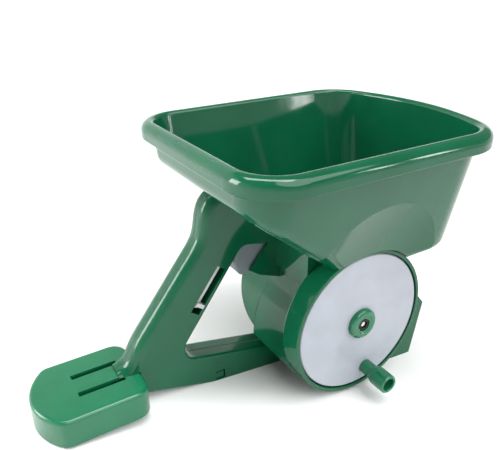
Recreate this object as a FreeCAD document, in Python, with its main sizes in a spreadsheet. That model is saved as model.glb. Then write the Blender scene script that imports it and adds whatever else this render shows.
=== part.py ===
import FreeCAD, Part
import math
import os

import Sketcher

# Hand-held crank spreader, in millimetres.
# X runs fore and aft: the chute throws towards +X and the pad lies towards -X.
# Y runs across: the crank wheel is on the -Y side. Z is up.
# Every piece is drawn about the vertical line through the crank axis, and its Placement
# moves it by crank_x, so that the part's origin is the centre of the pad's flat underside.

V = FreeCAD.Vector
doc = FreeCAD.newDocument("HandSpreader")
sheet = doc.addObject("Spreadsheet::Sheet", "Sizes")

SIZES = [
    # crank wheel and its drum
    ("crank_x", 207.0),          # pad centre to crank axis
    ("crank_z", 41.0),           # crank axis above the pad's underside
    ("wheel_r", 60.0),
    ("wheel_face", 71.0),        # wheel's outer face, from the middle plane
    ("wheel_thick", 3.0),
    ("drum_r", 64.0),
    ("drum_wall", 3.0),
    ("drum_front", 71.8),
    ("drum_floor", 55.0),
    ("floor_thick", 3.0),
    ("cap_r", 13.0),
    ("cap_face", 75.6),
    ("cap_hole_r", 5.8),
    ("knob_x", 8.8),
    ("knob_z", -47.1),           # knob axis, from the crank axis
    ("knob_stem_r", 6.1),
    ("knob_cup_r", 8.0),
    ("knob_end", 99.8),
    ("knob_hollow_r", 5.6),
    ("knob_hollow_end", 88.0),
    ("knob_pin_r", 2.5),
    # shaft line
    ("axle_r", 4.0),
    ("axle_front", 72.5),
    ("axle_back", 52.0),
    ("run_gap", 0.06),           # radial clearance of every running fit
    ("shaft_r", 6.5),
    ("shaft_front", 66.5),
    ("shaft_back", 44.0),
    ("bush_r", 9.0),
    ("screw_r", 2.0),
    # gear train
    ("gear_module", 2.0),
    ("ring_teeth", 54.0),
    ("idler_teeth", 21.0),
    ("sun_teeth", 12.0),
    ("gear_front", 66.5),
    ("gear_back", 59.0),
    ("ring_outer_r", 59.4),
    ("idler_pin_r", 3.0),
    # impeller
    ("vane_tip_r", 36.5),
    ("vane_thick", 2.4),
    ("impeller_hub_r", 10.0),
    ("impeller_half", 42.0),
    # housing and chute
    ("wall", 2.5),
    ("house_half", 53.0),
    ("dome_r", 62.0),
    ("dome_depth", 58.0),
    ("roof_z", 84.0),
    ("collar_base", 79.0),
    # grip
    ("grip_half", 11.5),
    # pad
    ("pad_top", 22.0),
    ("pad_half", 34.0),
    ("pad_front", -165.5),
    ("pad_back", -245.0),
    ("pad_wall", 2.5),
    ("pad_corner_r", 12.0),
    ("pad_edge_r", 3.0),
    ("slot_pitch", 21.0),
    ("slot_width", 4.8),
    ("slot_back", -213.0),
    # hopper
    ("rim_top", 190.5),
    ("skirt", 13.5),
    ("rim_back", -117.5),
    ("rim_front", 126.5),
    ("rim_half", 102.0),
    ("rim_overhang", 9.0),
    ("hopper_wall", 2.6),
    ("slope_deg", 38.8),
    ("slope_x", -27.0),          # a point on the sloping underside
    ("slope_z", 94.0),
    # outlet and gate
    ("port_back", -8.0),
    ("port_front", 0.0),
    ("port_half", 22.0),
    ("gate_half", 25.0),
    ("gate_z", 81.6),
    ("gate_thick", 2.1),
    # trigger
    ("trigger_x", -62.0),
    ("trigger_z", 113.0),
    ("trigger_half", 7.5),
    ("trigger_pin_r", 2.0),
]

for row, (alias, value) in enumerate(SIZES, start=1):
    sheet.set("A%d" % row, alias)
    sheet.set("B%d" % row, str(value))
    sheet.setAlias("B%d" % row, alias)
doc.recompute()


def size(alias):
    """A driving dimension's number, for shapes that are made by a formula."""
    return float(getattr(sheet, alias))


def number(expression):
    """An expression over the sheet as a plain number, or the number itself."""
    if isinstance(expression, (int, float)):
        return float(expression)
    return float(sheet.evalExpression(expression))


# ---------------------------------------------------------------- bound document objects

NODES = []
LOCAL_X = {}


def node(obj, label):
    """Give a finished piece its name and move it from the crank line to the part's frame."""
    obj.Label = label
    obj.setExpression("Placement.Base.x", "Sizes.crank_x + (%s)" % LOCAL_X.get(obj.Name, "0"))
    NODES.append(obj)
    return obj


def place(obj, x="0", y="0", z="0"):
    """Bind an object's position to the sheet."""
    LOCAL_X[obj.Name] = x
    obj.setExpression("Placement.Base.x", x)
    obj.setExpression("Placement.Base.y", y)
    obj.setExpression("Placement.Base.z", z)
    return obj


def cylinder_y(name, radius, y_from, y_to, x="0", z="Sizes.crank_z"):
    """Round bar along Y between two stations."""
    obj = doc.addObject("Part::Cylinder", name)
    obj.setExpression("Radius", radius)
    obj.setExpression("Height", "(%s) - (%s)" % (y_to, y_from))
    obj.Placement = FreeCAD.Placement(V(0, 0, 0), FreeCAD.Rotation(V(1, 0, 0), -90))
    return place(obj, x, y_from, z)


def block(name, x, y, z):
    """Box between pairs of bound stations along each axis."""
    obj = doc.addObject("Part::Box", name)
    obj.setExpression("Length", "(%s) - (%s)" % (x[1], x[0]))
    obj.setExpression("Width", "(%s) - (%s)" % (y[1], y[0]))
    obj.setExpression("Height", "(%s) - (%s)" % (z[1], z[0]))
    return place(obj, x[0], y[0], z[0])


def fuse(name, *parts):
    obj = doc.addObject("Part::MultiFuse", name)
    obj.Shapes = list(parts)
    return obj


def cut(name, base, *tools):
    obj = doc.addObject("Part::Cut", name)
    obj.Base = base
    obj.Tool = tools[0] if len(tools) == 1 else fuse(name + "_tools", *tools)
    return obj


def group(name, *parts):
    obj = doc.addObject("Part::Compound", name)
    obj.Links = list(parts)
    return obj


def formula(name, shape, label):
    """A piece whose outline comes from a formula: its sizes are read from the sheet above."""
    obj = doc.addObject("Part::Feature", name)
    obj.Shape = shape
    obj.Placement = FreeCAD.Placement()
    return node(obj, label)


def origin_plane(body, role):
    for feature in body.Origin.OriginFeatures:
        if feature.Role == role:
            return feature
    raise ValueError(role)


def sketch_on(body, plane, name):
    sketch = body.newObject("Sketcher::SketchObject", name)
    sketch.AttachmentSupport = [(origin_plane(body, plane), "")]
    sketch.MapMode = "FlatFace"
    return sketch


def outline(sketch, corners):
    """Closed straight-sided loop; each corner's two coordinates are bound to the sheet."""
    first = sketch.GeometryCount
    spots = [V(number(a), number(b), 0) for a, b in corners]
    count = len(spots)
    for i in range(count):
        sketch.addGeometry(Part.LineSegment(spots[i], spots[(i + 1) % count]), False)
    for i in range(count):
        joint = (first + i, 2, first + (i + 1) % count, 1)
        sketch.addConstraint(Sketcher.Constraint("Coincident", *joint))
    for i, pair in enumerate(corners):
        for kind, axis, expression in (("DistanceX", -2, pair[0]), ("DistanceY", -1, pair[1])):
            value = number(expression)
            if abs(value) < 1e-9:
                sketch.addConstraint(Sketcher.Constraint("PointOnObject", first + i, 1, axis))
                continue
            index = sketch.addConstraint(Sketcher.Constraint(kind, -1, 1, first + i, 1, value))
            if isinstance(expression, str):
                sketch.setExpression("Constraints[%d]" % index, expression)


def circle(sketch, radius, x=0.0, y=0.0):
    """Circle of a bound radius, its centre at the sketch's origin or at a bound place."""
    centre = V(number(x), number(y), 0)
    geo = sketch.addGeometry(Part.Circle(centre, V(0, 0, 1), number(radius)), False)
    index = sketch.addConstraint(Sketcher.Constraint("Radius", geo, number(radius)))
    sketch.setExpression("Constraints[%d]" % index, radius)
    if centre.Length < 1e-9:
        sketch.addConstraint(Sketcher.Constraint("Coincident", geo, 3, -1, 1))
        return
    for kind, value, expression in (("DistanceX", centre.x, x), ("DistanceY", centre.y, y)):
        index = sketch.addConstraint(Sketcher.Constraint(kind, -1, 1, geo, 3, value))
        sketch.setExpression("Constraints[%d]" % index, expression)


def new_body(name, y="0", z="Sizes.crank_z", x="0"):
    return place(doc.addObject("PartDesign::Body", name), x, y, z)


def add_pad(body, sketch, length, name):
    feature = body.newObject("PartDesign::Pad", name)
    feature.Profile = sketch
    feature.setExpression("Length", length)
    sketch.Visibility = False
    body.Tip = feature
    doc.recompute()
    return feature


def add_revolution(body, sketch, name):
    """Turned part: the sketch lies on XY and turns about the body's Y axis."""
    feature = body.newObject("PartDesign::Revolution", name)
    feature.Profile = sketch
    feature.ReferenceAxis = (sketch, ["V_Axis"])
    feature.Angle = 360.0
    body.Tip = feature
    doc.recompute()
    return feature


def add_pocket(body, sketch, name):
    """Cut right through both ways, and make sure that the cut removed something."""
    before = body.Shape.Volume
    feature = body.newObject("PartDesign::Pocket", name)
    feature.Profile = sketch
    feature.Type = "ThroughAll"
    feature.Midplane = True
    body.Tip = feature
    doc.recompute()
    if body.Shape.Volume >= before - 1e-6:
        raise RuntimeError(name + " cuts nothing")
    return feature


def turned(name, label, corners, x="0", z="Sizes.crank_z"):
    """Turned piece on a Y axis: corners are (radius, Y station)."""
    body = new_body(name, "0", z, x)
    sketch = sketch_on(body, "XY_Plane", name + "_profile")
    outline(sketch, corners)
    add_revolution(body, sketch, name + "_turn")
    return node(body, label)


# ---------------------------------------------------------------- plain solids for formulas

def prism_y(points, half):
    """Closed XZ outline as a solid from -half to +half in Y."""
    face = Part.Face(Part.makePolygon([V(x, -half, z) for x, z in points + points[:1]]))
    return face.extrude(V(0, 2 * half, 0))


def rod_y(radius, y_from, y_to, x=0.0, z=None):
    z = size("crank_z") if z is None else z
    return Part.makeCylinder(radius, y_to - y_from, V(x, y_from, z), V(0, 1, 0))


def box(x, y, z):
    return Part.makeBox(x[1] - x[0], y[1] - y[0], z[1] - z[0], V(x[0], y[0], z[0]))


def smooth(points):
    """Open smooth edge through XZ points in the middle plane."""
    curve = Part.BSplineCurve()
    curve.interpolate([V(x, 0, z) for x, z in points])
    return curve.toShape()


def straight(*points):
    ends = [V(x, 0, z) for x, z in points]
    return [Part.makeLine(a, b) for a, b in zip(ends, ends[1:])]


def rounded_loop(corners):
    """Closed XZ wire of straight runs joined by tangent arcs: corners are (x, z, radius)."""
    edges = []
    spots = [V(x, 0, z) for x, z, radius in corners]
    ends = []
    for i, (x, z, radius) in enumerate(corners):
        before = (spots[i - 1] - spots[i]).normalize()
        after = (spots[(i + 1) % len(spots)] - spots[i]).normalize()
        if radius == 0:
            ends.append((spots[i], spots[i]))
            continue
        half_angle = before.getAngle(after) / 2
        reach = radius / math.tan(half_angle)
        enter = spots[i] + before * reach
        leave = spots[i] + after * reach
        inward = (before + after).normalize()
        middle = spots[i] + inward * (radius / math.sin(half_angle) - radius)
        edges.append(Part.Arc(enter, middle, leave).toShape())
        ends.append((enter, leave))
    for i in range(len(corners)):
        edges.append(Part.makeLine(ends[i - 1][1], ends[i][0]))
    return Part.Wire(Part.__sortEdges__(edges))


def rounded(shape, radius, wanted):
    """Fillet the edges that the test picks out."""
    edges = [edge for edge in shape.Edges if wanted(edge)]
    return shape.makeFillet(radius, edges)


def clean(shape):
    """One solid with its seams between coplanar faces taken out and its edges healed."""
    tidy = shape.removeSplitter()
    tidy = (tidy.Solids[0] if len(tidy.Solids) == 1 else tidy).copy()
    tidy.fix(1e-5, 1e-7, 1e-4)
    return tidy


# ---------------------------------------------------------------- hopper

def d_wire(z, back, front, half, back_r, front_r, bow_r):
    """Plan outline: straight back and sides, round corners and a bowed front."""
    centre_x = front - bow_r + math.sqrt((bow_r - front_r) ** 2 - (half - front_r) ** 2)
    lean = math.atan2(half - front_r, centre_x - (front - bow_r))
    tip = V(centre_x + front_r * math.cos(lean), half - front_r + front_r * math.sin(lean), z)
    mid = V(centre_x + front_r * math.cos((lean + math.pi / 2) / 2),
            half - front_r + front_r * math.sin((lean + math.pi / 2) / 2), z)
    side_front = V(centre_x, half, z)
    side_back = V(back + back_r, half, z)
    diagonal = back_r * (1 - math.sqrt(0.5))
    corner = V(back + diagonal, half - diagonal, z)
    back_end = V(back, half - back_r, z)

    def near(point):
        return V(point.x, -point.y, point.z)

    return Part.Wire([
        Part.makeLine(near(back_end), back_end),
        Part.Arc(back_end, corner, side_back).toShape(),
        Part.makeLine(side_back, side_front),
        Part.Arc(side_front, mid, tip).toShape(),
        Part.Arc(tip, V(front, 0, z), near(tip)).toShape(),
        Part.Arc(near(tip), near(mid), near(side_front)).toShape(),
        Part.makeLine(near(side_front), near(side_back)),
        Part.Arc(near(side_back), near(corner), near(back_end)).toShape(),
    ])


def rim_wire(z, inset):
    """The rim's outer outline, moved in by an inset."""
    return d_wire(z, size("rim_back") + inset, size("rim_front") - inset,
                  size("rim_half") - inset, 38.0 - inset, 46.0 - inset, 190.0 - inset)


FLOOR_HALF = 72.0
FLOOR_FRONT = 107.0
FLOOR_BACK = -104.0
WALL_END_R = 24.0
FLOOR_END_R = 30.0


def hopper_body(inset):
    """Tapered tray with its sloping underside, moved in by an inset all round."""
    top = size("rim_top")
    floor = size("roof_z")
    upper = rim_wire(top + 1.0, size("rim_overhang") - 1.0 + inset)
    lower = d_wire(floor + inset, FLOOR_BACK + inset, FLOOR_FRONT - inset, FLOOR_HALF - inset,
                   WALL_END_R - inset, FLOOR_END_R - inset, 190.0 - inset)
    tray = Part.makeLoft([lower, upper], True, True)
    lean = math.radians(size("slope_deg"))
    x0 = size("slope_x") + inset * math.sin(lean)
    z0 = size("slope_z") + inset * math.cos(lean)
    back = -200.0
    low = floor + inset
    knee_x = x0 + (z0 - low) / math.tan(lean)
    side = [(back, z0 + (x0 - back) * math.tan(lean)), (knee_x, low), (150.0, low),
            (150.0, top + 40.0), (back, top + 40.0)]
    return tray.common(prism_y(side, 130.0))


def hopper_shape():
    top = size("rim_top")
    skirt_base = top - size("skirt")
    wall = size("hopper_wall")
    drum_gap = 1.2
    arch_r = size("drum_r") + drum_gap
    arch_y = size("drum_floor") - size("floor_thick") - 0.6

    def below_rim(edge):
        return edge.BoundBox.ZMax < skirt_base - 4.0

    outer = rounded(hopper_body(0.0), 12.0, below_rim)
    outer = outer.common(box((-150, 150), (-120, 120), (0, top - 1.0)))
    inner = rounded(hopper_body(wall), 9.5, below_rim)
    rim = Part.Face(rim_wire(skirt_base, 0.0)).extrude(V(0, 0, size("skirt")))
    rim = rounded(rim, 7.5, lambda edge: edge.BoundBox.ZMin > top - 0.1)
    rim = rounded(rim, 1.0, lambda edge: edge.BoundBox.ZMax < skirt_base + 0.1)
    under = Part.Face(rim_wire(skirt_base - 1.0, 2.4)).extrude(V(0, 0, size("skirt") - 1.6))
    shell = outer.fuse(rim.cut(under))
    # the drum stands in an arch that is pressed into the near wall
    arch = rod_y(arch_r, -120.0, -arch_y)
    arch_inside = rod_y(arch_r + wall, -120.0, -arch_y + wall)
    shell = shell.cut(arch).cut(inner.cut(arch_inside))
    port = box((size("port_back"), size("port_front")), (-size("port_half"), size("port_half")),
               (70.0, 100.0))
    shell = shell.cut(port)
    for x, y in hopper_screw_places():
        shell = shell.cut(Part.makeCylinder(size("screw_r") + 0.2, 30.0, V(x, y, 75.0)))
    shell = clean(shell)
    mouth = rim_wire(top, size("rim_overhang") + wall).BoundBox

    def mouth_edge(edge):
        bounds = edge.BoundBox
        flat_top = bounds.ZMin > top - 0.1 and bounds.ZMax < top + 0.1
        return flat_top and bounds.XMin > mouth.XMin - 3.0 and bounds.XMax < mouth.XMax + 3.0

    return rounded(shell, 3.2, mouth_edge)


def hopper_screw_places():
    return [(x, y) for x in (-5.0, 24.0) for y in (-44.0, 44.0)]


# ---------------------------------------------------------------- clamshell body

# Outline of the grip: the crest seen from behind, from the toe on the pad up to the hopper.
CREST = [(-182.0, 24.5), (-175.0, 28.0), (-168.5, 38.5), (-158.0, 53.5), (-138.0, 79.5),
         (-119.0, 104.0), (-110.0, 118.0), (-107.0, 132.0), (-102.5, 144.5), (-97.0, 150.0)]
# Rear wall of the impeller housing in the middle plane, from the collar down to the bar.
REAR_WALL = [(-38.0, 72.0), (-41.5, 61.0), (-49.5, 46.0), (-54.5, 33.0), (-57.0, 20.0),
             (-57.5, 6.0), (-52.0, -9.0), (-40.0, -17.0), (-20.0, -21.5)]
CHUTE = [(20.0, -27.0), (52.0, -34.0), (84.0, -35.0), (94.0, 18.0), (38.0, 84.0)]
# Cheeks on both sides of the trigger, from the web down to the rear wall.
CHEEK = [(-37.5, 66.0), (-58.0, 74.0), (-67.5, 80.6), (-50.8, 100.6), (-48.0, 104.0), (-37.5, 104.0)]
# The finger gap between grip, web, housing and lower bar: corners and their radii.
GAP = [(-136.0, 19.0, 12.0), (-30.0, -4.2, 0.0), (-30.0, 96.0, 0.0), (-73.8, 105.1, 9.0)]


TENON_HALF = 7.0


def tenon_shape():
    """Stub of the grip that the pad's socket takes."""
    return box((-181.9, size("pad_front") + 2.0), (-TENON_HALF, TENON_HALF), (5.0, 15.0))


def grip_base():
    """Straight part of the grip's outline: up to the hopper, along the bar, round the toe."""
    slope = math.tan(math.radians(size("slope_deg")))
    top_end = (-30.0, size("slope_z") + (size("slope_x") + 30.0) * slope)
    pad_face = size("pad_front")
    return [top_end, (-30.0, -22.0), (-62.0, -24.0), (-94.0, -20.0), (pad_face, 0.0),
            (pad_face, size("pad_top")), (CREST[0][0], size("pad_top"))]


def housing_base():
    """Straight part of the housing's outline: bottom, chute, front and roof."""
    return CHUTE + [(-38.0, size("roof_z"))]


def half_smooth_wire(curved, corners):
    """Closed outline: a smooth edge through the first points, then straight runs."""
    runs = straight(curved[-1], *corners, curved[0])
    return Part.Wire(Part.__sortEdges__([smooth(curved)] + runs))


def inner_face(corners, wall):
    """Outline of a hollow: the same corners joined by straight runs, moved in by the wall."""
    spots = [V(x, 0, z) for x, z in corners]
    face = Part.Face(Part.makePolygon(spots + spots[:1]))
    return face.makeOffset2D(-wall, 2)


def thick_y(face, y_from, y_to):
    solid = face.extrude(V(0, y_to - y_from, 0))
    solid.translate(V(0, y_from, 0))
    return solid


def dome(inset):
    """Far end of the housing: a ball on the crank axis, its pole at dome_depth."""
    radius = size("dome_r")
    centre = V(0, size("dome_depth") - radius, size("crank_z"))
    return Part.makeSphere(radius - inset, centre, V(0, 1, 0))


GRIP_BOSSES = [(-152.0, 24.0), (-127.0, 68.0), (-78.0, -9.0), (-88.0, 128.0)]
BOSS_R = 4.2
IDLER_REACH = size("gear_module") * (size("sun_teeth") + size("idler_teeth")) / 2
SLOT_FOOT = (-117.8, 57.8)       # lower end of the slot's centre line
SLOT_LEAN = 53.5                 # slot direction above the horizontal, in degrees
SLOT_LENGTH = 41.5
SLOT_WIDTH = 8.0
GRIP_WALL = 4.0                  # behind the crest's round edges
PILOT_R = 1.75
HEAD_R = 3.5
HEAD_DEPTH = 3.2


def body_solid():
    """Both halves' outer form as one solid."""
    grip_half = size("grip_half")
    half = size("house_half")
    grip_wire = half_smooth_wire(CREST, grip_base())
    grip = thick_y(Part.Face(grip_wire), -grip_half, grip_half)

    def crest_edge(edge):
        bounds = edge.BoundBox
        on_side = bounds.YLength < 0.01 and abs(abs(bounds.YMin) - grip_half) < 0.01
        return on_side and bounds.ZLength > 90.0

    grip = rounded(grip, 8.0, crest_edge)

    def lower_edge(edge):
        bounds = edge.BoundBox
        on_side = bounds.YLength < 0.01 and abs(abs(bounds.YMin) - grip_half) < 0.01
        return on_side and bounds.ZMax < 0.1 and bounds.XMax < -60.0

    grip = rounded(grip, 3.0, lower_edge)
    gap = thick_y(Part.Face(rounded_loop(GAP)), -grip_half, grip_half)
    grip = grip.cut(gap)

    def gap_edge(edge):
        bounds = edge.BoundBox
        on_side = bounds.YLength < 0.01 and abs(abs(bounds.YMin) - grip_half) < 0.01
        inside = bounds.XMin > -124.5 and bounds.XMax < -30.5 and bounds.ZMax < 104.5
        return on_side and inside and bounds.ZMin > -3.0

    grip = rounded(grip, 2.0, gap_edge)
    round_end = rod_y(size("dome_r") + 4.0, -half, 0.0).fuse(dome(0.0))
    chute = box((16.0, 100.0), (-half, half), (-40.0, size("roof_z")))
    housing_wire = half_smooth_wire(REAR_WALL, housing_base())
    housing = thick_y(Part.Face(housing_wire), -half, size("dome_depth"))
    housing = housing.common(round_end.fuse(chute))
    collar = box((-42.0, 42.0), (-half, half), (size("collar_base"), 108.0))
    drum_back = drum_back_y()
    drum = rod_y(size("drum_r"), -size("drum_front"), drum_back)
    drum = rounded(drum, 2.5, lambda edge: edge.BoundBox.YMin > drum_back - 0.1)
    drum = rounded(drum, 0.6, lambda edge: edge.BoundBox.YMax < 0.1 - size("drum_front"))
    inside = grip_half - size("wall")
    cheek = Part.Face(rounded_loop([(x, z, 0.0) for x, z in CHEEK]))
    cheeks = [thick_y(cheek, -grip_half, -inside), thick_y(cheek, inside, grip_half)]
    return grip.fuse([housing, collar, drum, tenon_shape()] + cheeks)


def drum_back_y():
    return size("floor_thick") - size("drum_floor")


def body_hollow():
    """Space inside the shells: grip, impeller chamber and the chute's open mouth."""
    wall = size("wall")
    grip_half = size("grip_half") - wall
    half = size("house_half")
    front = drum_back_y()
    gap = Part.Face(rounded_loop(GAP)).makeOffset2D(wall)
    grip = thick_y(inner_face(CREST + grip_base(), GRIP_WALL), -grip_half, grip_half)
    grip = grip.cut(thick_y(gap, -20.0, 20.0))
    grip = grip.common(box((-200.0, -44.5), (-20.0, 20.0), (-40.0, 160.0)))
    round_end = rod_y(size("dome_r") + 4.0, front, 0.0).fuse(dome(wall))
    chute = box((16.0, 100.0), (front + 1.5, half - wall), (-40.0, size("roof_z")))
    chamber = thick_y(inner_face(REAR_WALL + housing_base(), wall), front, 60.0)
    chamber = chamber.common(round_end.fuse(chute))
    chamber = chamber.common(box((-80.0, 100.0), (front, 60.0), (-50.0, size("collar_base"))))
    mouth = prism_y([(70.0, -32.5), (100.0, -32.5), (110.0, 18.0), (91.0, 17.5), (70.0, 41.0)],
                    half - wall)
    return [grip, chamber, mouth]


def gate_channel():
    """Room for the shutter, its rails and its tail, and the outlet port below it."""
    roof = size("roof_z")
    under = size("gate_z") - 0.2
    channel = box((-40.0, 4.0), (-30.0, 30.0), (under, roof))
    tail = box((-46.0, -39.0), (-4.5, 4.5), (under, roof))
    port = box((size("port_back"), size("port_front")), (-size("port_half"), size("port_half")),
               (70.0, 90.0))
    trigger_room = box((-88.0, -46.0), (-8.6, 8.6), (84.0, 108.0))
    return [channel, tail, port, trigger_room]


def boss(x, z, y_from, y_to, radius=BOSS_R):
    return rod_y(radius, y_from, y_to, x, z)


def slider_slot():
    """Slot in the near half's side, along the grip."""
    return slot_prism(SLOT_LENGTH, SLOT_WIDTH, (-20.0, -8.0))


def slot_prism(length, width, y):
    """Bar along the grip's slot line, from its lower end up, centred on the slot's width."""
    bar = box((0.0, length), y, (-width / 2, width / 2))
    bar.rotate(V(0, 0, 0), V(0, 1, 0), -SLOT_LEAN)
    bar.translate(V(SLOT_FOOT[0], 0, SLOT_FOOT[1]))
    return bar


def body_halves():
    """Near and far shell of the clamshell, split at the middle plane."""
    half = size("house_half")
    wall = size("wall")
    inside = size("grip_half") - wall
    solid = body_solid().cut(body_hollow())
    above = hopper_body(0.0).fuse(box((-14.0, 120.0), (-90.0, 90.0), (size("roof_z"), 120.0)))
    above = above.cut(rod_y(size("drum_r") + 0.01, -90.0, drum_back_y()))
    solid = solid.cut(above)
    solid = solid.cut(gate_channel())
    cup = rod_y(size("drum_r") - size("drum_wall"), -80.0, -size("drum_floor"))
    solid = solid.cut([cup, rod_y(size("bush_r"), -60.0, -40.0)])
    for x, y in hopper_screw_places():
        solid = solid.cut(Part.makeCylinder(PILOT_R, 30.0, V(x, y, size("collar_base") + 0.5)))
    for x in (-IDLER_REACH, IDLER_REACH):
        solid = solid.cut(rod_y(size("idler_pin_r"), -60.0, -40.0, x))
    near = solid.common(box((-200.0, 110.0), (-80.0, 0.0), (-60.0, 200.0)))
    far = solid.common(box((-200.0, 110.0), (0.0, 80.0), (-60.0, 200.0)))
    # screw bosses, trigger pivot seats and the far bearing of the axle
    for x, z in GRIP_BOSSES:
        near = near.fuse(boss(x, z, -inside - 0.5, 0.0)).cut(boss(x, z, -8.0, 1.0, PILOT_R))
        far = far.fuse(boss(x, z, 0.0, inside + 0.5)).cut(boss(x, z, -1.0, 20.0, PILOT_R))
        far = far.cut(boss(x, z, size("grip_half") - HEAD_DEPTH, 20.0, HEAD_R))
    pivot = (size("trigger_x"), size("trigger_z"))
    seat = size("trigger_half") + 0.3
    pin_end = size("grip_half") - 1.0
    room = boss(*pivot, -seat, seat, 5.4)
    near = near.cut(room).fuse(boss(*pivot, -inside - 0.5, -seat, 4.0))
    near = near.cut(boss(*pivot, -pin_end, 0.0, size("trigger_pin_r")))
    far = far.cut(room).fuse(boss(*pivot, seat, inside + 0.5, 4.0))
    far = far.cut(boss(*pivot, 0.0, pin_end, size("trigger_pin_r")))
    axle_boss = boss(0.0, size("crank_z"), size("shaft_back") + 1.4, size("dome_depth") - 1.5, 9.0)
    far = far.fuse(axle_boss)
    far = far.cut(boss(0.0, size("crank_z"), 40.0, size("axle_back"), size("axle_r")))
    near = near.cut(slider_slot())
    # snap window in the near bar, nearly filled by the far half's hook
    near = near.cut(box((-102.0, -93.5), (-20.0, -8.0), (-15.0, -6.5)))
    hook = box((-101.8, -94.7), (-inside - 2.1, -4.0), (-13.5, -7.9))
    arm = box((-101.0, -95.0), (-4.0, inside + 0.5), (-12.0, -9.5))
    far = far.fuse([hook, arm])
    return clean(near), clean(far)


# ---------------------------------------------------------------- gears

PRESSURE = math.radians(25.0)
BACKLASH = 0.3


def involute(angle):
    return math.tan(angle) - angle


def tooth_ring(teeth, tip, foot, thicken, first_angle):
    """Toothed outline in XZ: a tooth centred on first_angle, three stations on each flank."""
    module = size("gear_module")
    pitch_r = module * teeth / 2
    base_r = pitch_r * math.cos(PRESSURE)
    start_r = max(base_r, pitch_r - foot)
    tip_r = pitch_r + tip
    half_at_pitch = math.pi / (2 * teeth) + thicken / (2 * pitch_r)
    flank = []
    for step in range(4):
        radius = start_r + (tip_r - start_r) * step / 3
        pressure = math.acos(min(1.0, base_r / radius))
        flank.append((radius, half_at_pitch + involute(PRESSURE) - involute(pressure)))
    if start_r > pitch_r - foot:
        flank.insert(0, (pitch_r - foot, flank[0][1]))
    points = []
    for tooth in range(int(teeth)):
        middle = first_angle + 2 * math.pi * tooth / teeth
        for radius, half in flank:
            points.append((radius * math.cos(middle - half), radius * math.sin(middle - half)))
        for radius, half in reversed(flank):
            points.append((radius * math.cos(middle + half), radius * math.sin(middle + half)))
    return points


def gear_block(points, y_from, y_to, x=0.0):
    z = size("crank_z")
    spots = [V(x + px, y_from, z + pz) for px, pz in points]
    return Part.Face(Part.makePolygon(spots + spots[:1])).extrude(V(0, y_to - y_from, 0))


def spur_gear(teeth, x, first_angle, bore):
    """Outside gear with a plain bore."""
    module = size("gear_module")
    points = tooth_ring(teeth, 0.9 * module, 1.25 * module, -BACKLASH / 2, first_angle)
    blank = gear_block(points, -size("gear_front"), -size("gear_back"), x)
    return blank.cut(rod_y(bore, -80.0, -40.0, x))


def ring_gear_shape():
    module = size("gear_module")
    front = size("wheel_face") - size("wheel_thick")
    back = size("gear_back") - 0.5
    space = tooth_ring(size("ring_teeth"), 1.25 * module, 0.9 * module, BACKLASH / 2, 0.0)
    blank = rod_y(size("ring_outer_r"), -front, -back)
    return blank.cut(gear_block(space, -front - 1.0, -back + 1.0))


# ---------------------------------------------------------------- pad

def pad_outline(inset):
    """Plan of the pad: round front corners and a bulging back end."""
    half = size("pad_half") - inset
    front = size("pad_front") - inset
    back = size("pad_back") + inset
    corner = size("pad_corner_r") - inset
    shoulder = back + 16.0
    slant = corner * math.sqrt(0.5)
    pieces = []
    for side in (-1, 1):
        corner_mid = V(front - corner + slant, side * (half - corner + slant), 0)
        pieces.append(Part.Arc(V(front, side * (half - corner), 0), corner_mid,
                               V(front - corner, side * half, 0)).toShape())
        pieces.append(Part.makeLine(V(front - corner, side * half, 0), V(shoulder, side * half, 0)))
    pieces.append(Part.makeLine(V(front, corner - half, 0), V(front, half - corner, 0)))
    pieces.append(Part.Arc(V(shoulder, -half, 0), V(back, 0, 0), V(shoulder, half, 0)).toShape())
    return Part.Wire(Part.__sortEdges__(pieces))


def pad_prism(inset, z_from, z_to):
    solid = Part.Face(pad_outline(inset)).extrude(V(0, 0, z_to - z_from))
    solid.translate(V(0, 0, z_from))
    return solid


PAD_BASE = 2.0


def pad_shell_shape():
    """Hollow pad with a tongue between two slots, open below for its base plate."""
    top = size("pad_top")
    wall = size("pad_wall")
    outer = pad_prism(0.0, 0.0, top)

    def rims(edge):
        return edge.BoundBox.ZMin > top - 0.1

    def bends(edge):
        bounds = edge.BoundBox
        return bounds.ZLength > top - 0.1 and bounds.XMax < size("pad_back") + 20.0

    outer = rounded(outer, 9.0, bends)
    outer = rounded(outer, size("pad_edge_r"), rims)
    shell = outer.cut(pad_prism(wall, -1.0, top - wall))
    for side in (-1, 1):
        middle = side * size("slot_pitch") / 2
        across = (middle - size("slot_width") / 2, middle + size("slot_width") / 2)
        shell = shell.cut(box((size("slot_back"), -178.0), across, (top - 6.0, top + 1.0)))
    # socket that takes the grip's tenon
    socket = box((-184.0, size("pad_front")), (-TENON_HALF - 2.0, TENON_HALF + 2.0), (3.0, 17.0))
    tenon = box((-182.0, size("pad_front") + 1.0), (-TENON_HALF, TENON_HALF), (5.0, 15.0))
    return clean(shell.fuse(socket).cut(tenon))


# ---------------------------------------------------------------- trigger, gate, slider

def trigger_outline():
    """Finger lever hung from its pivot: corners and their radii."""
    return [(-66.5, 112.0, 0.0), (-77.5, 105.0, 7.0), (-79.5, 89.0, 8.0), (-75.0, 76.5, 5.0),
            (-61.0, 75.5, 3.0), (-45.5, 93.0, 3.0), (-57.5, 112.0, 0.0)]


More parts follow.
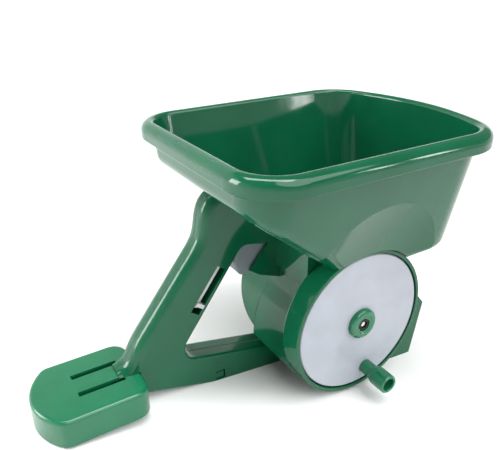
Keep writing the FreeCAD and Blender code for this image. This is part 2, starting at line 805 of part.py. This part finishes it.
def trigger_shape():
    half = size("trigger_half")
    pivot = (size("trigger_x"), size("trigger_z"))
    blade = thick_y(Part.Face(rounded_loop(trigger_outline())), -half, half)
    face_edges = [edge for edge in blade.Edges if edge.BoundBox.YLength < 0.01
                  and edge.BoundBox.ZMax < 97.0]
    blade = blade.makeFillet(1.2, face_edges)
    blade = blade.fuse(boss(*pivot, -half, half, 5.0))
    blade = blade.cut(boss(*pivot, -10.0, 10.0, size("trigger_pin_r") + size("run_gap")))
    blade = blade.cut(boss(*pivot, -10.0, SPRING_FACE, SPRING_R + 1.2))
    slot = box((-69.0, -40.0), (-4.4, 4.4), (78.3, 90.0))
    pin = boss(*LINK_PIN, -6.5, 6.5, LINK_PIN_R)
    return clean(blade.cut([slot, pin]))


SPRING_R = 3.6
SPRING_WIRE_R = 0.45
SPRING_FACE = -4.4
LINK_PIN = (-60.0, 82.65)
LINK_PIN_R = 1.2


def spring_shape():
    """Torsion spring round the trigger's pin, its outer leg braced on the web's roof."""
    turns = 2.5
    pitch = 1.05
    coil = Part.makeHelix(pitch, pitch * turns, SPRING_R)
    start = V(SPRING_R, 0, 0)
    ring = Part.Wire(Part.makeCircle(SPRING_WIRE_R, start, V(0, 1, 0)))
    tube = Part.Wire(coil.Edges).makePipeShell([ring], True, True)
    tube.rotate(V(0, 0, 0), V(1, 0, 0), 90)
    tube.translate(V(size("trigger_x"), SPRING_FACE - 0.5, size("trigger_z")))
    return tube


def gate_shape():
    low = size("gate_z")
    high = low + size("gate_thick")
    half = size("gate_half")
    plate = box((-29.0, 1.0), (-half, half), (low, high))
    tail = box((-60.0, -28.0), (-4.0, 4.0), (low, high))
    eye = box((-64.0, -56.5), (-4.0, 4.0), (79.9, 85.4))
    x, z = LINK_PIN
    hole = box((x - 1.35, x + 1.35), (-5.0, 5.0), (z - 1.4, z + 1.9))
    return clean(plate.fuse([tail, eye]).cut(hole))


def slider_shape():
    """Stop slider: a strip behind the slot's front edge with a thumb lip that stands out."""
    face = -8.8
    strip = slot_prism(42.0, 6.9, (face, face + 1.8))
    lip = slot_prism(3.2, 7.4, (-12.6, face + 1.8))
    lean = math.radians(SLOT_LEAN)
    along = V(math.cos(lean), 0, math.sin(lean))
    across = V(-math.sin(lean), 0, math.cos(lean))
    strip.translate(along * (SLIDER_REST - 2.0) + across * 3.05)
    lip.translate(along * SLIDER_REST)
    return clean(strip.fuse(lip))


SLIDER_REST = 6.0


# ---------------------------------------------------------------- build every piece

near_half, far_half = body_halves()
formula("Hopper", hopper_shape(), "hopper")
formula("NearHalf", near_half, "body_near_half")
formula("FarHalf", far_half, "body_far_half")
formula("PadShell", pad_shell_shape(), "pad_shell")
formula("PadBase", pad_prism(size("pad_wall"), 0.0, PAD_BASE), "pad_base")


def crank_wheel():
    """Disc with a hub boss on each face, bored for the axle and for the knob's pin."""
    body = new_body("CrankWheel")
    profile = sketch_on(body, "XY_Plane", "wheel_profile")
    outline(profile, [
        ("Sizes.axle_r + Sizes.run_gap", "-Sizes.wheel_face - 1.3"),
        ("Sizes.bush_r - 1", "-Sizes.wheel_face - 1.3"),
        ("Sizes.bush_r - 1", "-Sizes.wheel_face"),
        ("Sizes.wheel_r - 0.8", "-Sizes.wheel_face"),
        ("Sizes.wheel_r", "-Sizes.wheel_face + 0.8"),
        ("Sizes.wheel_r", "-Sizes.wheel_face + Sizes.wheel_thick"),
        ("Sizes.bush_r", "-Sizes.wheel_face + Sizes.wheel_thick"),
        ("Sizes.bush_r", "-Sizes.wheel_face + Sizes.wheel_thick + 1"),
        ("Sizes.axle_r + Sizes.run_gap", "-Sizes.wheel_face + Sizes.wheel_thick + 1"),
    ])
    add_revolution(body, profile, "wheel_turn")
    pin_hole = sketch_on(body, "XZ_Plane", "wheel_pin_hole")
    circle(pin_hole, "Sizes.knob_pin_r", "Sizes.knob_x", "Sizes.knob_z")
    add_pocket(body, pin_hole, "wheel_hole")
    return node(body, "crank_wheel")


crank_wheel()
formula("RingGear", ring_gear_shape(), "ring_gear")
turned("HubCap", "crank_hub_cap", [
    ("Sizes.cap_hole_r", "-Sizes.cap_face + 0.5"), ("Sizes.cap_r - 5.6", "-Sizes.cap_face + 0.5"),
    ("Sizes.cap_r - 5", "-Sizes.cap_face + 0.1"), ("Sizes.cap_r - 4.2", "-Sizes.cap_face"),
    ("Sizes.cap_r - 2.4", "-Sizes.cap_face + 0.1"), ("Sizes.cap_r - 1.2", "-Sizes.cap_face + 0.6"),
    ("Sizes.cap_r - 0.4", "-Sizes.cap_face + 1.5"), ("Sizes.cap_r", "-Sizes.cap_face + 2.8"),
    ("Sizes.cap_r", "-Sizes.wheel_face"),
    ("Sizes.bush_r + 0.1", "-Sizes.wheel_face"), ("Sizes.bush_r + 0.1", "-Sizes.cap_face + 2"),
    ("Sizes.cap_hole_r", "-Sizes.cap_face + 2"),
])
KNOB_Z = "Sizes.crank_z + Sizes.knob_z"
turned("CrankKnob", "crank_knob", [
    ("Sizes.knob_pin_r + Sizes.run_gap", "-Sizes.wheel_face - 0.3"),
    ("Sizes.knob_stem_r", "-Sizes.wheel_face - 0.3"),
    ("Sizes.knob_stem_r", "-Sizes.wheel_face - 10.5"),
    ("Sizes.knob_cup_r - 0.5", "-Sizes.wheel_face - 13.5"),
    ("Sizes.knob_cup_r", "-Sizes.wheel_face - 15"),
    ("Sizes.knob_cup_r", "-Sizes.knob_end + 0.8"),
    ("Sizes.knob_cup_r - 0.8", "-Sizes.knob_end"),
    ("Sizes.knob_hollow_r + 0.5", "-Sizes.knob_end"),
    ("Sizes.knob_hollow_r", "-Sizes.knob_end + 0.5"),
    ("Sizes.knob_hollow_r", "-Sizes.knob_hollow_end"),
    ("Sizes.knob_pin_r + Sizes.run_gap", "-Sizes.knob_hollow_end"),
], "Sizes.knob_x", KNOB_Z)
turned("KnobPin", "knob_pin", [
    ("0", "-Sizes.wheel_face + Sizes.wheel_thick"),
    ("Sizes.knob_pin_r", "-Sizes.wheel_face + Sizes.wheel_thick"),
    ("Sizes.knob_pin_r", "-Sizes.knob_hollow_end - 0.2"),
    ("Sizes.knob_hollow_r - 1.2", "-Sizes.knob_hollow_end - 0.2"),
    ("Sizes.knob_hollow_r - 1.8", "-Sizes.knob_hollow_end - 1.8"),
    ("0", "-Sizes.knob_hollow_end - 2.2"),
], "Sizes.knob_x", KNOB_Z)
turned("Axle", "axle", [
    ("Sizes.screw_r", "-Sizes.axle_front"), ("Sizes.axle_r", "-Sizes.axle_front"),
    ("Sizes.axle_r", "Sizes.axle_back"), ("0", "Sizes.axle_back"),
    ("0", "-Sizes.axle_front + 12"), ("Sizes.screw_r", "-Sizes.axle_front + 12"),
])
turned("CrankWasher", "crank_washer", [
    ("Sizes.screw_r", "-Sizes.axle_front"), ("Sizes.axle_r + 3", "-Sizes.axle_front"),
    ("Sizes.axle_r + 3", "-Sizes.axle_front - 0.8"), ("Sizes.screw_r", "-Sizes.axle_front - 0.8"),
])


def crank_screw():
    """Cap screw with a hexagon socket."""
    head_base = "-Sizes.axle_front - 0.8"
    shank = cylinder_y("ScrewShank", "Sizes.screw_r", head_base, "-Sizes.axle_front + 10")
    head = cylinder_y("ScrewHead", "Sizes.cap_hole_r - 0.8", "-Sizes.cap_face + 0.9", head_base)
    socket = doc.addObject("Part::Prism", "ScrewSocket")
    socket.Polygon = 6
    socket.setExpression("Circumradius", "Sizes.screw_r + 1.4")
    socket.setExpression("Height", "1.1")
    socket.Placement = FreeCAD.Placement(V(0, 0, 0), FreeCAD.Rotation(V(1, 0, 0), -90))
    place(socket, "0", "-Sizes.cap_face + 0.8", "Sizes.crank_z")
    return node(cut("CrankScrew", fuse("ScrewBlank", shank, head), socket), "crank_screw")


crank_screw()
turned("ImpellerShaft", "impeller_shaft", [
    ("Sizes.axle_r + Sizes.run_gap", "-Sizes.shaft_front"), ("Sizes.shaft_r", "-Sizes.shaft_front"),
    ("Sizes.shaft_r", "Sizes.shaft_back"), ("Sizes.axle_r + Sizes.run_gap", "Sizes.shaft_back"),
])
turned("ShaftBush", "shaft_bush", [
    ("Sizes.shaft_r + Sizes.run_gap", "-Sizes.drum_floor"), ("Sizes.bush_r", "-Sizes.drum_floor"),
    ("Sizes.bush_r", "-Sizes.drum_floor + Sizes.floor_thick"),
    ("Sizes.bush_r + 2", "-Sizes.drum_floor + Sizes.floor_thick"),
    ("Sizes.bush_r + 2", "-Sizes.drum_floor + Sizes.floor_thick + 1.5"),
    ("Sizes.shaft_r + Sizes.run_gap", "-Sizes.drum_floor + Sizes.floor_thick + 1.5"),
])
turned("ThrustWasher", "thrust_washer", [
    ("Sizes.axle_r + Sizes.run_gap", "Sizes.shaft_back + 0.1"),
    ("Sizes.shaft_r + 1.5", "Sizes.shaft_back + 0.1"),
    ("Sizes.shaft_r + 1.5", "Sizes.shaft_back + 1.3"),
    ("Sizes.axle_r + Sizes.run_gap", "Sizes.shaft_back + 1.3"),
])


def impeller():
    """Hub with six flat vanes, made as one vane and a polar pattern."""
    body = new_body("Impeller", "Sizes.impeller_half")
    vane = sketch_on(body, "XZ_Plane", "vane_plan")
    outline(vane, [
        ("0.001", "-Sizes.vane_thick / 2"), ("Sizes.vane_tip_r", "-Sizes.vane_thick / 2"),
        ("Sizes.vane_tip_r", "Sizes.vane_thick / 2"), ("0.001", "Sizes.vane_thick / 2"),
    ])
    vane_pad = add_pad(body, vane, "2 * Sizes.impeller_half", "vane")
    pattern = body.newObject("PartDesign::PolarPattern", "vanes")
    pattern.Originals = [vane_pad]
    pattern.Axis = (vane, ["N_Axis"])
    pattern.Angle = 360.0
    pattern.Occurrences = 6
    body.Tip = pattern
    doc.recompute()
    hub = sketch_on(body, "XZ_Plane", "hub_plan")
    circle(hub, "Sizes.impeller_hub_r")
    add_pad(body, hub, "2 * Sizes.impeller_half", "hub")
    bore = sketch_on(body, "XZ_Plane", "hub_bore")
    circle(bore, "Sizes.shaft_r")
    add_pocket(body, bore, "hub_hole")
    return node(body, "impeller")


impeller()
formula("SunPinion", spur_gear(size("sun_teeth"), 0.0, 0.0, size("shaft_r")), "sun_pinion")
IDLER_BORE = size("idler_pin_r") + size("run_gap")
formula("IdlerA", spur_gear(size("idler_teeth"), IDLER_REACH, 0.0, IDLER_BORE), "idler_gear_a")
formula("IdlerB", spur_gear(size("idler_teeth"), -IDLER_REACH, math.pi, IDLER_BORE), "idler_gear_b")
REACH = "Sizes.gear_module * (Sizes.sun_teeth + Sizes.idler_teeth) / 2"


def idler_pins():
    """Two headed pins pressed into the drum floor, each with a thin retaining clip."""
    pins = []
    clips = []
    for name, x in (("A", REACH), ("B", "-" + REACH)):
        floor_back = "-Sizes.drum_floor + Sizes.floor_thick"
        pins.append(fuse("IdlerPin" + name,
                         cylinder_y("IdlerStud" + name, "Sizes.idler_pin_r",
                                    "-Sizes.gear_front - 0.9", floor_back, x),
                         cylinder_y("IdlerShoulder" + name, "Sizes.idler_pin_r + 1.5",
                                    "-Sizes.drum_floor - 3.7", "-Sizes.drum_floor", x)))
        ring = cylinder_y("ClipRing" + name, "Sizes.idler_pin_r + 1.8",
                          "-Sizes.gear_front - 0.8", "-Sizes.gear_front - 0.2", x)
        hole = cylinder_y("ClipHole" + name, "Sizes.idler_pin_r",
                          "-Sizes.gear_front - 1", "-Sizes.gear_front", x)
        clips.append(cut("IdlerClip" + name, ring, hole))
    node(group("IdlerPins", *pins), "idler_pins")
    node(group("IdlerClips", *clips), "idler_clips")


idler_pins()
formula("Trigger", trigger_shape(), "trigger")
node(cylinder_y("TriggerPin", "Sizes.trigger_pin_r", "1 - Sizes.grip_half",
                "Sizes.grip_half - 1", "Sizes.trigger_x", "Sizes.trigger_z"), "trigger_pin")
formula("TriggerSpring", spring_shape(), "trigger_spring")
formula("GateLinkPin", boss(*LINK_PIN, -6.4, 6.4, LINK_PIN_R), "gate_link_pin")
formula("GatePlate", gate_shape(), "gate_plate")


def gate_guides():
    """Rails beside the shutter."""
    rails = []
    for name, y in (("Near", ("-Sizes.gate_half - 4.9", "-Sizes.gate_half - 0.3")),
                    ("Far", ("Sizes.gate_half + 0.3", "Sizes.gate_half + 4.9"))):
        rails.append(block("Rail" + name, ("-39", "3"), y, ("Sizes.gate_z - 0.2", "Sizes.roof_z")))
    return node(group("GateGuides", *rails), "gate_guides")


gate_guides()
formula("FlowSlider", slider_shape(), "flow_slider")


def headed_screw(tip, head_top, head_r, head_h, shank_r, point):
    """Pan-head screw along Y from its tip to its head, with a cross slot."""
    x, z = point
    shank = boss(x, z, tip, head_top - head_h, shank_r)
    head = rounded(boss(x, z, head_top - head_h, head_top, head_r), head_h * 0.45,
                   lambda edge: edge.BoundBox.YMin > head_top - 0.01)
    screw = shank.fuse(head)
    for lengths in ((4.0, 0.8), (0.8, 4.0)):
        reach, rise = lengths
        screw = screw.cut(box((x - reach / 2, x + reach / 2), (head_top - 1.0, head_top + 1.0),
                              (z - rise / 2, z + rise / 2)))
    return screw


head_base = size("grip_half") - HEAD_DEPTH
body_screws = [headed_screw(-7.8, head_base + 2.2, HEAD_R - 0.2, 2.2, PILOT_R, point)
               for point in GRIP_BOSSES]
formula("BodyScrews", Part.makeCompound(body_screws), "body_screws")


def hopper_screw(x, y):
    """The same screw, stood upright with its head on the hopper's floor."""
    floor_top = size("roof_z") + size("hopper_wall")
    screw = headed_screw(-7.0, 2.2, 3.8, 2.2, PILOT_R, (0.0, 0.0))
    screw.rotate(V(0, 0, 0), V(1, 0, 0), 90)
    screw.translate(V(x, y, floor_top))
    return screw


hopper_screws = [hopper_screw(x, y) for x, y in hopper_screw_places()]
formula("HopperScrews", Part.makeCompound(hopper_screws), "hopper_screws")

# ---------------------------------------------------------------- check and write

doc.recompute()
for obj in doc.Objects:
    if "Invalid" in obj.State or "Error" in obj.State:
        raise RuntimeError("%s failed: %s" % (obj.Label, obj.State))

os.makedirs("parts", exist_ok=True)
for obj in NODES:
    if obj.Shape.isNull() or not obj.Shape.isValid():
        raise RuntimeError(obj.Label + " has no valid shape")
    obj.Shape.exportStep("parts/%s.step" % obj.Label)
    print("%-16s %d solid(s) %10.1f mm3" % (obj.Label, len(obj.Shape.Solids), obj.Shape.Volume))
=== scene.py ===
import math

import bmesh
import bpy
from mathutils import Matrix, Vector


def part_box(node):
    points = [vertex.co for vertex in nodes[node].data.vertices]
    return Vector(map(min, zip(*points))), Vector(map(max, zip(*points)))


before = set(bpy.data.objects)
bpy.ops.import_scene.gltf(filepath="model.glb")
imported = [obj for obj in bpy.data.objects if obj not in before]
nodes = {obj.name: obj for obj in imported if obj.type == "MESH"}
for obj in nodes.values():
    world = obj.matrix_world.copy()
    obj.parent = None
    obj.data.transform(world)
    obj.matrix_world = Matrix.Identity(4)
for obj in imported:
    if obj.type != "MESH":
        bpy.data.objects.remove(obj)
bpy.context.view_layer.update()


# ------------------------------------------------------------------ where things are

def mid(node):
    """Middle of a CAD node's box."""
    low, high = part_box(node)
    return (low + high) / 2


AXIS = mid("crank_wheel")                    # crank axis crosses the wheel here
PAD_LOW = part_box("pad_shell")[0]
NEAR_LOW, NEAR_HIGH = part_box("body_near_half")


# ------------------------------------------------------------------ shader helpers

class Shader:
    """A node tree for one material, with short calls for the nodes used here."""

    def __init__(self, name):
        self.material = bpy.data.materials.new(name)
        self.material.use_nodes = True
        self.tree = self.material.node_tree
        self.bsdf = self.tree.nodes["Principled BSDF"]
        self.coords = self.tree.nodes.new("ShaderNodeTexCoord").outputs["Object"]

    def link(self, value, socket):
        """Join an output to an input, or set the input to a plain number."""
        if isinstance(value, bpy.types.NodeSocket):
            self.tree.links.new(value, socket)
        else:
            socket.default_value = value

    def noise(self, scale, detail=3.0, roughness=0.5, stretch=None):
        node = self.tree.nodes.new("ShaderNodeTexNoise")
        node.inputs["Scale"].default_value = scale
        node.inputs["Detail"].default_value = detail
        node.inputs["Roughness"].default_value = roughness
        source = self.coords
        if stretch:
            mapping = self.tree.nodes.new("ShaderNodeMapping")
            mapping.inputs["Scale"].default_value = stretch
            self.link(self.coords, mapping.inputs["Vector"])
            source = mapping.outputs["Vector"]
        self.link(source, node.inputs["Vector"])
        return node.outputs["Fac"]

    def ramp(self, factor, low, high, start=0.3, end=0.7):
        """Colour that goes from low to high as the factor goes from start to end."""
        node = self.tree.nodes.new("ShaderNodeValToRGB")
        node.color_ramp.elements[0].position = start
        node.color_ramp.elements[0].color = (*low, 1.0)
        node.color_ramp.elements[1].position = end
        node.color_ramp.elements[1].color = (*high, 1.0)
        self.link(factor, node.inputs["Fac"])
        return node.outputs["Color"]

    def spread(self, factor, start, end, low, high):
        """Map a factor between start and end on to low and high, held at both ends."""
        node = self.tree.nodes.new("ShaderNodeMapRange")
        node.interpolation_type = "SMOOTHSTEP"
        for value, name in ((start, "From Min"), (end, "From Max"), (low, "To Min"), (high, "To Max")):
            node.inputs[name].default_value = value
        self.link(factor, node.inputs["Value"])
        return node.outputs["Result"]

    def maths(self, operation, a, b=0.0):
        node = self.tree.nodes.new("ShaderNodeMath")
        node.operation = operation
        self.link(a, node.inputs[0])
        self.link(b, node.inputs[1])
        return node.outputs[0]

    def axis(self, letter):
        node = self.tree.nodes.new("ShaderNodeSeparateXYZ")
        self.link(self.coords, node.inputs[0])
        return node.outputs[letter]

    def distance_from_line(self, x, z):
        """Distance from a line along Y."""
        across = self.maths("SUBTRACT", self.axis("X"), x)
        up = self.maths("SUBTRACT", self.axis("Z"), z)
        squares = self.maths("ADD", self.maths("MULTIPLY", across, across),
                             self.maths("MULTIPLY", up, up))
        return self.maths("SQRT", squares)

    def mix(self, factor, low, high):
        node = self.tree.nodes.new("ShaderNodeMix")
        node.data_type = "RGBA"
        self.link(factor, node.inputs["Factor"])
        for value, socket in ((low, node.inputs[6]), (high, node.inputs[7])):
            self.link(value if isinstance(value, bpy.types.NodeSocket) else (*value, 1.0), socket)
        return node.outputs[2]

    def bump(self, height, strength, distance, normal=None):
        node = self.tree.nodes.new("ShaderNodeBump")
        node.inputs["Strength"].default_value = strength
        node.inputs["Distance"].default_value = distance
        self.link(height, node.inputs["Height"])
        if normal is not None:
            self.link(normal, node.inputs["Normal"])
        return node.outputs["Normal"]

    def out(self, colour=None, roughness=None, normal=None, **fixed):
        if colour is not None:
            self.link(colour, self.bsdf.inputs["Base Color"])
        if roughness is not None:
            self.link(roughness, self.bsdf.inputs["Roughness"])
        if normal is not None:
            self.link(normal, self.bsdf.inputs["Normal"])
        for name, value in fixed.items():
            self.bsdf.inputs[name.replace("_", " ")].default_value = value
        return self.material


def shade(colour, factor):
    return tuple(channel * factor for channel in colour)


# ------------------------------------------------------------------ materials

GREEN = (0.003, 0.086, 0.037)
SEAM_HALF_WIDTHS = (0.0002, 0.0006)          # the parting line is dark to the first, gone at the second
ARCH_CENTRE = (AXIS.x + 0.008, AXIS.z + 0.042)
ARCH_RADIUS = 0.063
ARCH_DEPTH = 0.009
NEAR_WALL_Y = (-0.052, -0.046)               # the arch fades out between these, going inwards
SOCKET_RADII = (0.0016, 0.0024)              # bright inside the first, black outside the second


def moulded(name, colour, roughness, coat=0.0, specular=0.36, grain=900.0, grain_depth=0.15,
            seam=False, press=None):
    """Moulded plastic: slow cloudiness, fine skin texture, small handling marks.

    seam draws the parting line at Y = 0, and press adds a shape of its own to the normal.
    """
    s = Shader(name)
    cloud = s.noise(22.0, 4.0, 0.6)
    tint = s.ramp(cloud, shade(colour, 0.86), shade(colour, 1.12), 0.25, 0.75)
    marks = s.noise(90.0, 4.0, 0.6, (1.0, 1.0, 0.4))
    rough = s.spread(marks, 0.4, 0.8, roughness, roughness + 0.05)
    skin = s.noise(grain, 2.0)
    waves = s.noise(35.0, 1.0)
    normal = s.bump(skin, grain_depth, 0.00004)
    normal = s.bump(waves, 0.1, 0.001, normal)
    if seam:
        gap = s.spread(s.maths("ABSOLUTE", s.axis("Y")), *SEAM_HALF_WIDTHS, 0.0, 1.0)
        tint = s.mix(gap, shade(colour, 0.12), tint)
        normal = s.bump(gap, 0.4, 0.0003, normal)
        rough = s.maths("MAXIMUM", rough, s.spread(gap, 0.0, 1.0, 0.7, 0.0))
    if press:
        normal = press(s, normal)
    return s.out(tint, rough, normal, Coat_Weight=coat, Coat_Roughness=0.1,
                 Specular_IOR_Level=specular)


def arch(s, normal):
    """The soft arch pressed into the hopper's near wall, round the drum."""
    away = s.maths("DIVIDE", s.distance_from_line(*ARCH_CENTRE), ARCH_RADIUS)
    lens = s.maths("MAXIMUM", s.maths("SUBTRACT", 1.0, s.maths("MULTIPLY", away, away)), 0.0)
    near = s.spread(s.axis("Y"), *NEAR_WALL_Y, 1.0, 0.0)
    hollow = s.maths("SUBTRACT", 1.0, s.maths("MULTIPLY", lens, near))
    return s.bump(hollow, 1.0, ARCH_DEPTH, normal)


def metal(name, colour, roughness, lines):
    """Steel with fine turned or drawn lines."""
    s = Shader(name)
    drawn = s.noise(420.0, 4.0, 0.6, lines)
    tint = s.ramp(drawn, shade(colour, 0.8), shade(colour, 1.1))
    rough = s.spread(drawn, 0.3, 0.7, roughness, roughness + 0.18)
    return s.out(tint, rough, s.bump(drawn, 0.25, 0.0002), Metallic=1.0)


def socket_screw():
    """Screw head coloured near black outside the socket radii and pale steel inside them."""
    s = Shader("socket_screw_steel")
    drawn = s.noise(420.0, 4.0, 0.6)
    inside = s.spread(s.distance_from_line(AXIS.x, AXIS.z), *SOCKET_RADII, 1.0, 0.0)
    bright = s.ramp(drawn, (0.5, 0.5, 0.5), (0.75, 0.75, 0.74))
    dark = s.ramp(drawn, (0.008, 0.009, 0.009), (0.02, 0.021, 0.021))
    return s.out(s.mix(inside, dark, bright), s.spread(drawn, 0.3, 0.7, 0.22, 0.38), Metallic=0.8)


green_shell = moulded("shell_green_plastic", GREEN, 0.07, seam=True)
green_hopper = moulded("hopper_green_plastic", GREEN, 0.07, specular=0.45, press=arch)
# The pad is a lighter, more matte plastic than the shell, and its colour is lightened further as painted
# light for the sheen its top face catches.
green_pad = moulded("pad_green_plastic", shade(GREEN, 1.5), 0.2, specular=0.5, grain=500.0, grain_depth=0.05)
# Painted light: the shell's green made 1.6 times lighter, standing in for the light the knob and hub cap
# catch.
trim_green_painted_light = moulded("trim_green_plastic", shade(GREEN, 1.6), 0.1, specular=0.6)
grey_disc = moulded("disc_grey_plastic", (0.36, 0.385, 0.43), 0.3, coat=0.2)
grey_trigger = moulded("trigger_grey_plastic", (0.17, 0.2, 0.215), 0.38, coat=0.1)
grey_slider = moulded("slider_grey_plastic", (0.5, 0.52, 0.53), 0.34, coat=0.1)
gear_plastic = moulded("gear_white_plastic", (0.68, 0.66, 0.6), 0.42)
dark_plastic = moulded("impeller_grey_plastic", (0.09, 0.1, 0.1), 0.4, coat=0.1)
gate_plastic = moulded("gate_black_plastic", (0.02, 0.022, 0.022), 0.42, coat=0.1)
turned_steel = metal("turned_steel", (0.55, 0.55, 0.56), 0.22, (1.0, 0.1, 1.0))
zinc = metal("zinc_screw", (0.6, 0.6, 0.58), 0.3, (1.0, 1.0, 0.4))

LOOK = {
    "hopper": green_hopper,
    "body_near_half": green_shell,
    "body_far_half": green_shell,
    "pad_shell": green_pad,
    "pad_base": green_pad,
    "gate_guides": trim_green_painted_light,
    "crank_wheel": grey_disc,
    "crank_hub_cap": trim_green_painted_light,
    "crank_knob": trim_green_painted_light,
    "knob_pin": gear_plastic,
    "ring_gear": gear_plastic,
    "idler_gear_a": gear_plastic,
    "idler_gear_b": gear_plastic,
    "sun_pinion": gear_plastic,
    "impeller_shaft": gear_plastic,
    "shaft_bush": gear_plastic,
    "thrust_washer": gear_plastic,
    "impeller": dark_plastic,
    "gate_plate": gate_plastic,
    "trigger": grey_trigger,
    "flow_slider": grey_slider,
    "axle": turned_steel,
    "crank_washer": turned_steel,
    "crank_screw": socket_screw(),
    "idler_pins": turned_steel,
    "idler_clips": turned_steel,
    "trigger_pin": turned_steel,
    "trigger_spring": turned_steel,
    "gate_link_pin": turned_steel,
    "body_screws": zinc,
    "hopper_screws": zinc,
}

for name, node in nodes.items():
    node.data.materials.clear()
    node.data.materials.append(LOOK[name])


# ------------------------------------------------------------------ floor, light, camera

CHUTE_CORNER = 0.010                         # the lowest edge is this far behind the shell's front end
REST_BACK = Vector((PAD_LOW.x, 0.0, PAD_LOW.z))
REST_FRONT = Vector((NEAR_HIGH.x - CHUTE_CORNER, 0.0, NEAR_LOW.z))
REST_MID = (REST_BACK + REST_FRONT) / 2
SLOPE = math.atan2(REST_BACK.z - REST_FRONT.z, REST_FRONT.x - REST_BACK.x)

FLOOR_GAP = 0.0003
FLOOR_RINGS = [(0.0, 0.0), (0.4, 0.0), (0.8, 0.0), (1.4, 0.0), (1.75, 0.02), (2.05, 0.1),
               (2.25, 0.25), (2.35, 0.45), (2.4, 0.7)]
BACKDROP_SIDE = math.radians(110)            # where the floor sweeps up highest, from +X
BACKDROP_LIFT = 2.4


def bowl(name, rings, count=96):
    """Round floor that sweeps up all round, from its (radius, height) rings, highest on one side."""
    made = bmesh.new()
    loops = []
    for radius, height in rings[1:]:
        loop = []
        for i in range(count):
            angle = 2 * math.pi * i / count
            lift = 1.0 + BACKDROP_LIFT * max(0.0, math.cos(angle - BACKDROP_SIDE))
            loop.append(made.verts.new((radius * math.cos(angle), radius * math.sin(angle),
                                        height * lift)))
        loops.append(loop)
    middle = made.verts.new((0.0, 0.0, rings[0][1]))
    for i in range(count):
        j = (i + 1) % count
        made.faces.new((middle, loops[0][i], loops[0][j]))
        for inner, outer in zip(loops, loops[1:]):
            made.faces.new((inner[i], outer[i], outer[j], inner[j]))
    for face in made.faces:
        face.smooth = True
    mesh = bpy.data.meshes.new(name)
    made.to_mesh(mesh)
    made.free()
    return bpy.data.objects.new(name, mesh)


floor = bowl("floor", FLOOR_RINGS)
floor_place = Matrix.Translation(REST_MID - Vector((0, 0, FLOOR_GAP)))
floor.matrix_world = floor_place @ Matrix.Rotation(SLOPE, 4, "Y")
bpy.context.scene.collection.objects.link(floor)
paper = Shader("pale_floor")
paper_tint = paper.ramp(paper.noise(2.0, 3.0), (0.9, 0.9, 0.9), (0.93, 0.93, 0.93))
floor.data.materials.append(paper.out(paper_tint, 0.7, Specular_IOR_Level=0.2))

world = bpy.data.worlds.new("studio")
world.use_nodes = True
world.node_tree.nodes["Background"].inputs["Color"].default_value = (1.0, 1.0, 1.0, 1.0)
world.node_tree.nodes["Background"].inputs["Strength"].default_value = 0.25
bpy.context.scene.world = world
bpy.context.scene.view_settings.view_transform = "Standard"


LIGHT_TARGET = REST_MID + Vector((0, 0, 0.08))


def aim(direction):
    """Turn that points a lamp's -Z along a direction."""
    return direction.to_track_quat("-Z", "Y").to_euler()


def softbox(name, place, size, power):
    """Rectangular lamp at a place, aimed at the object."""
    light = bpy.data.lights.new(name, "AREA")
    light.shape = "RECTANGLE"
    light.size, light.size_y = size
    light.energy = power
    lamp = bpy.data.objects.new(name, light)
    lamp.location = place
    lamp.rotation_euler = aim(LIGHT_TARGET - Vector(place))
    bpy.context.scene.collection.objects.link(lamp)
    return lamp


sun = bpy.data.lights.new("sky", "SUN")
sun.energy = 2.6
sun.angle = math.radians(60)
sun_lamp = bpy.data.objects.new("sky", sun)
sun_lamp.rotation_euler = aim(Vector((-0.2, 0.58, -0.78)))
bpy.context.scene.collection.objects.link(sun_lamp)

softbox("window_left", (-1.25, 0.65, 0.6), (0.6, 0.8), 17.0)
strip = softbox("strip_top", (0.02, 0.06, 1.35), (1.2, 0.4), 15.0)
strip.rotation_euler = (0.0, 0.0, math.radians(135))   # straight down, turned in plan
softbox("window_front_a", (1.14, -1.12, 0.46), (0.07, 0.3), 0.9)
softbox("window_front_b", (1.3, -1.04, 0.46), (0.09, 0.3), 1.2)

CAMERA_PLACE = Vector((-0.0569, -0.3367, 0.2992))
CAMERA_FORWARD = Vector((0.46634, 0.77572, -0.42434)).normalized()
CAMERA_RIGHT = Vector((0.85386, -0.51955, -0.01141)).normalized()
CAMERA_UP = Vector((0.22932, 0.35701, 0.90543)).normalized()

camera_data = bpy.data.cameras.new("camera")
camera_data.sensor_width = 36.0
camera_data.lens = 39.54
camera_data.clip_start = 0.02
camera_data.clip_end = 60.0
camera = bpy.data.objects.new("camera", camera_data)
turn = Matrix((CAMERA_RIGHT, CAMERA_UP, -CAMERA_FORWARD)).transposed().to_4x4()
camera.matrix_world = Matrix.Translation(CAMERA_PLACE) @ turn
bpy.context.scene.collection.objects.link(camera)
bpy.context.scene.camera = camera
